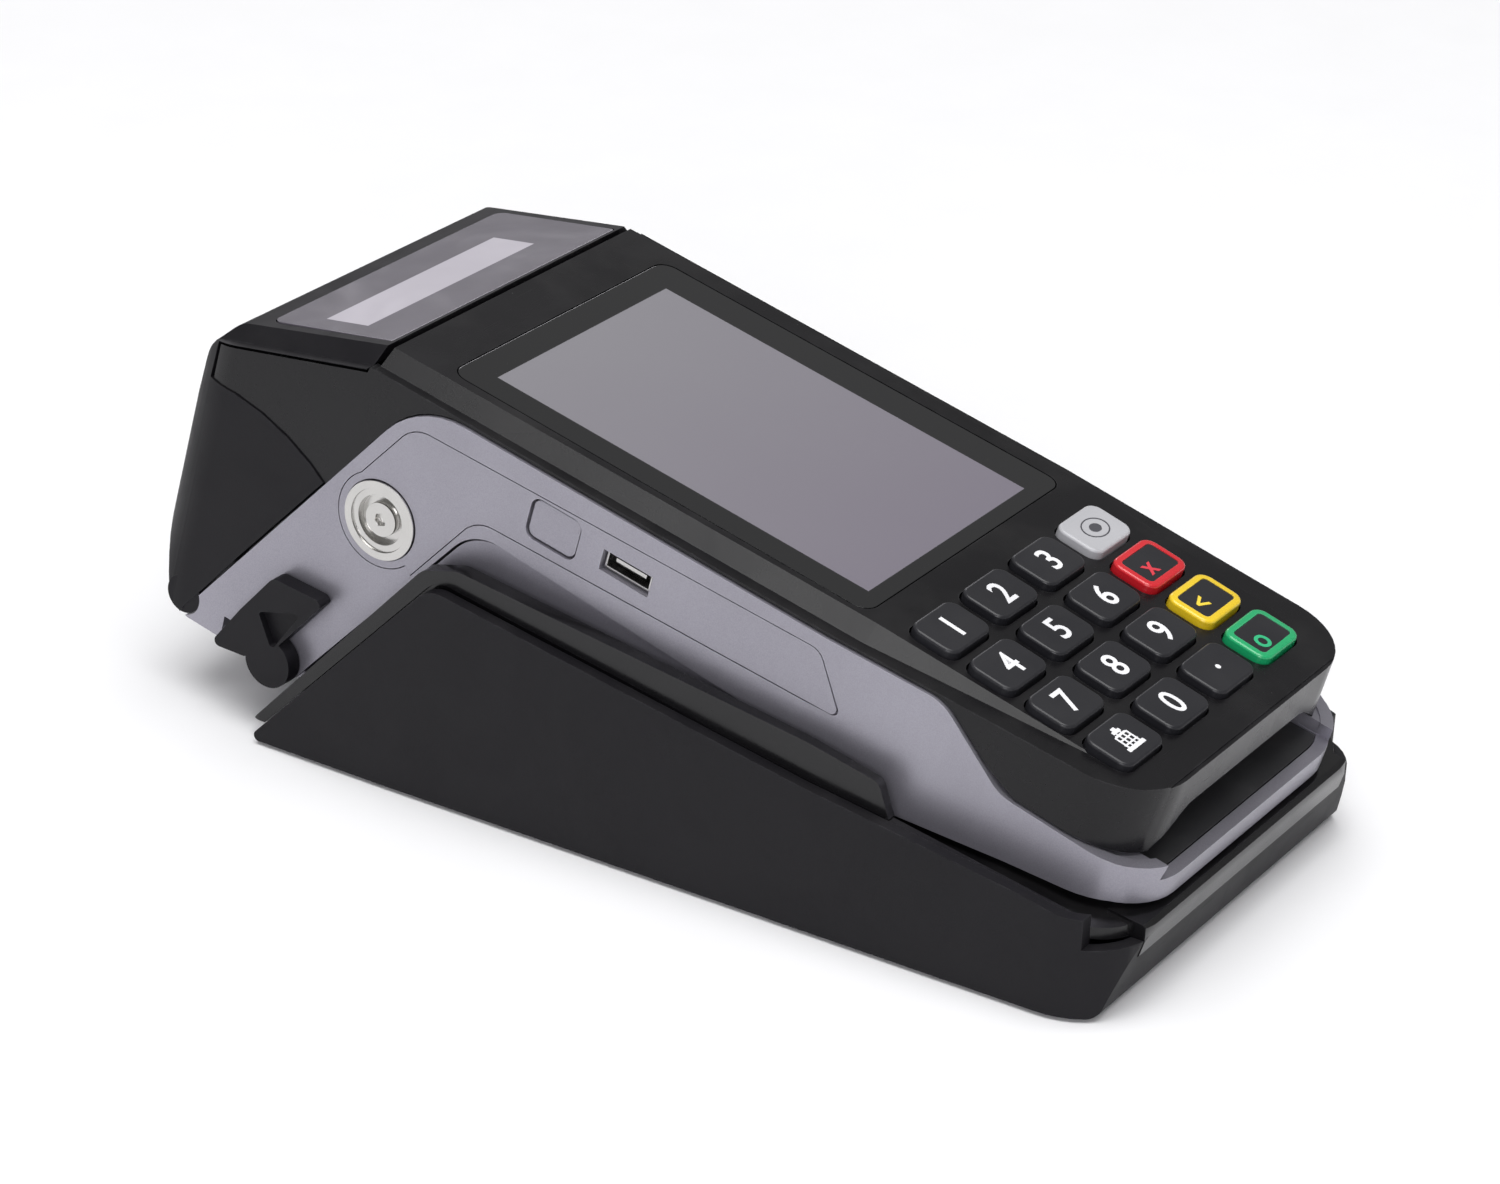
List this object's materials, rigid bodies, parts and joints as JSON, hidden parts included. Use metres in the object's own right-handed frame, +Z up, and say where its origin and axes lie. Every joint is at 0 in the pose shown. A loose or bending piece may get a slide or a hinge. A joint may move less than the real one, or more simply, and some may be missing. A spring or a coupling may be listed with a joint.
{
  "type": "card payment terminal",
  "caption": "Handheld card payment terminal with screen, keypad, card slot and receipt printer, seated on a wedge-shaped charging base.",
  "frame": {"origin": "middle of the whole object's footprint box, on the table under the base's feet", "axes": "+X to the right of a person at the keypad, +Y from the keypad towards the printer, +Z up"},
  "size_m": [0.093, 0.19, 0.0732],
  "materials": {
    "black_plastic": "fine grain",
    "gloss_black": "smooth",
    "silver_paint": "fine metallic lacquer on plastic",
    "lens": "polished",
    "screen": "unlit screen",
    "key_black": "soft satin",
    "key_grey": "satin",
    "key_red": "satin",
    "key_yellow": "satin",
    "key_green": "satin",
    "smoke_window": "polished smoke grey",
    "steel": "turned",
    "rubber": "soft",
    "board": "solder mask",
    "brass": "plated",
    "paper": "plain thermal paper",
    "battery": "wrapped",
    "gear_plastic": "natural acetal",
    "dark_plastic": "plain"
  },
  "bodies": {
    "base": {"base_shell": "black_plastic", "base_tray": "gloss_black", "base_bottom": "dark_plastic", "base_feet": "rubber", "base_board": "board", "power_jack": "steel", "base_screws": "steel"},
    "charge_pins": {"charge_pins": "brass"},
    "terminal": {"top_cover": "gloss_black", "display_lens": "lens", "lcd_module": "screen", "keypad_mat": "rubber", "main_board": "board", "mid_housing": "silver_paint", "bottom_cover": "silver_paint", "battery_pack": "battery", "service_panel": "silver_paint", "seal_cup": "steel", "seal_screw": "steel", "usb_port": "steel", "card_reader": "dark_plastic", "swipe_reader": "dark_plastic", "speaker": "dark_plastic", "printer_frame": "dark_plastic", "print_head": "steel", "tear_bar": "steel", "stepper_motor": "steel", "lid_hinge_pin": "steel", "catch_pins": "steel", "charge_contacts": "brass", "housing_screws": "steel"},
    "lid": {"paper_lid": "black_plastic", "lid_window": "smoke_window"},
    "platen": {"platen_roller": "rubber", "platen_gear": "gear_plastic"},
    "paper_roll": {"paper_roll": "paper"},
    "idler": {"idler_gear": "gear_plastic"},
    "pinion": {"motor_pinion": "gear_plastic"},
    "lid_catch": {"lid_catch": "black_plastic"},
    "side_button": {"side_button": "silver_paint"},
    "key_1": {"key_1": "key_black"},
    "key_2": {"key_2": "key_black"},
    "key_3": {"key_3": "key_black"},
    "key_menu": {"key_menu": "key_grey"},
    "key_4": {"key_4": "key_black"},
    "key_5": {"key_5": "key_black"},
    "key_6": {"key_6": "key_black"},
    "key_cancel": {"key_cancel": "key_red", "cancel_inlay": "key_black"},
    "key_7": {"key_7": "key_black"},
    "key_8": {"key_8": "key_black"},
    "key_9": {"key_9": "key_black"},
    "key_clear": {"key_clear": "key_yellow", "clear_inlay": "key_black"},
    "key_feed": {"key_feed": "key_black"},
    "key_0": {"key_0": "key_black"},
    "key_dot": {"key_dot": "key_black"},
    "key_enter": {"key_enter": "key_green", "enter_inlay": "key_black"}
  },
  "joints": [
    {"name": "terminal_lift", "type": "slide", "parent": "base", "child": "terminal", "axis": [0, -0.2351, 0.972], "range_m": [0, 0.06]},
    {"name": "charge_pin_travel", "type": "slide", "parent": "base", "child": "charge_pins", "axis": [0, 0.2351, -0.972], "range_m": [0, 0.0008], "stiffness_N_per_m": 150},
    {"name": "lid_open", "type": "hinge", "parent": "terminal", "child": "lid", "pos_m": [0, 0.08967, 0.01853], "axis": [-1, 0, 0], "range_deg": [0, 75]},
    {"name": "platen_spin", "type": "hinge", "parent": "lid", "child": "platen", "pos_m": [0, 0.05513, 0.06347], "axis": [1, 0, 0], "continuous": true},
    {"name": "idler_spin", "type": "hinge", "parent": "terminal", "child": "idler", "pos_m": [0, 0.046, 0.05568], "axis": [1, 0, 0], "continuous": true},
    {"name": "pinion_spin", "type": "hinge", "parent": "terminal", "child": "pinion", "pos_m": [0, 0.04195, 0.04567], "axis": [1, 0, 0], "continuous": true},
    {"name": "paper_roll_spin", "type": "hinge", "parent": "lid", "child": "paper_roll", "pos_m": [0, 0.06876, 0.03817], "axis": [1, 0, 0], "continuous": true},
    {"name": "lid_catch_pull", "type": "hinge", "parent": "terminal", "child": "lid_catch", "pos_m": [0, 0.06873, 0.01408], "axis": [-1, 0, 0], "range_deg": [0, 22], "stiffness_Nm_per_rad": 0.02},
    {"name": "side_button_press", "type": "slide", "parent": "terminal", "child": "side_button", "axis": [1, 0, 0], "range_m": [0, 0.0006], "stiffness_N_per_m": 400},
    {"name": "key_1_press", "type": "slide", "parent": "terminal", "child": "key_1", "axis": [0, 0.2924, -0.9563], "range_m": [0, 0.0006], "stiffness_N_per_m": 400},
    {"name": "key_2_press", "type": "slide", "parent": "terminal", "child": "key_2", "axis": [0, 0.2924, -0.9563], "range_m": [0, 0.0006], "stiffness_N_per_m": 400},
    {"name": "key_3_press", "type": "slide", "parent": "terminal", "child": "key_3", "axis": [0, 0.2924, -0.9563], "range_m": [0, 0.0006], "stiffness_N_per_m": 400},
    {"name": "key_menu_press", "type": "slide", "parent": "terminal", "child": "key_menu", "axis": [0, 0.2924, -0.9563], "range_m": [0, 0.0006], "stiffness_N_per_m": 400},
    {"name": "key_4_press", "type": "slide", "parent": "terminal", "child": "key_4", "axis": [0, 0.2924, -0.9563], "range_m": [0, 0.0006], "stiffness_N_per_m": 400},
    {"name": "key_5_press", "type": "slide", "parent": "terminal", "child": "key_5", "axis": [0, 0.2924, -0.9563], "range_m": [0, 0.0006], "stiffness_N_per_m": 400},
    {"name": "key_6_press", "type": "slide", "parent": "terminal", "child": "key_6", "axis": [0, 0.2924, -0.9563], "range_m": [0, 0.0006], "stiffness_N_per_m": 400},
    {"name": "key_cancel_press", "type": "slide", "parent": "terminal", "child": "key_cancel", "axis": [0, 0.2924, -0.9563], "range_m": [0, 0.0006], "stiffness_N_per_m": 400},
    {"name": "key_7_press", "type": "slide", "parent": "terminal", "child": "key_7", "axis": [0, 0.2924, -0.9563], "range_m": [0, 0.0006], "stiffness_N_per_m": 400},
    {"name": "key_8_press", "type": "slide", "parent": "terminal", "child": "key_8", "axis": [0, 0.2924, -0.9563], "range_m": [0, 0.0006], "stiffness_N_per_m": 400},
    {"name": "key_9_press", "type": "slide", "parent": "terminal", "child": "key_9", "axis": [0, 0.2924, -0.9563], "range_m": [0, 0.0006], "stiffness_N_per_m": 400},
    {"name": "key_clear_press", "type": "slide", "parent": "terminal", "child": "key_clear", "axis": [0, 0.2924, -0.9563], "range_m": [0, 0.0006], "stiffness_N_per_m": 400},
    {"name": "key_feed_press", "type": "slide", "parent": "terminal", "child": "key_feed", "axis": [0, 0.2924, -0.9563], "range_m": [0, 0.0006], "stiffness_N_per_m": 400},
    {"name": "key_0_press", "type": "slide", "parent": "terminal", "child": "key_0", "axis": [0, 0.2924, -0.9563], "range_m": [0, 0.0006], "stiffness_N_per_m": 400},
    {"name": "key_dot_press", "type": "slide", "parent": "terminal", "child": "key_dot", "axis": [0, 0.2924, -0.9563], "range_m": [0, 0.0006], "stiffness_N_per_m": 400},
    {"name": "key_enter_press", "type": "slide", "parent": "terminal", "child": "key_enter", "axis": [0, 0.2924, -0.9563], "range_m": [0, 0.0006], "stiffness_N_per_m": 400}
  ],
  "couplings": [
    {"joint": "idler_spin", "follows": "platen_spin", "ratio": -0.81818},
    {"joint": "pinion_spin", "follows": "platen_spin", "ratio": 1.2857}
  ]
}
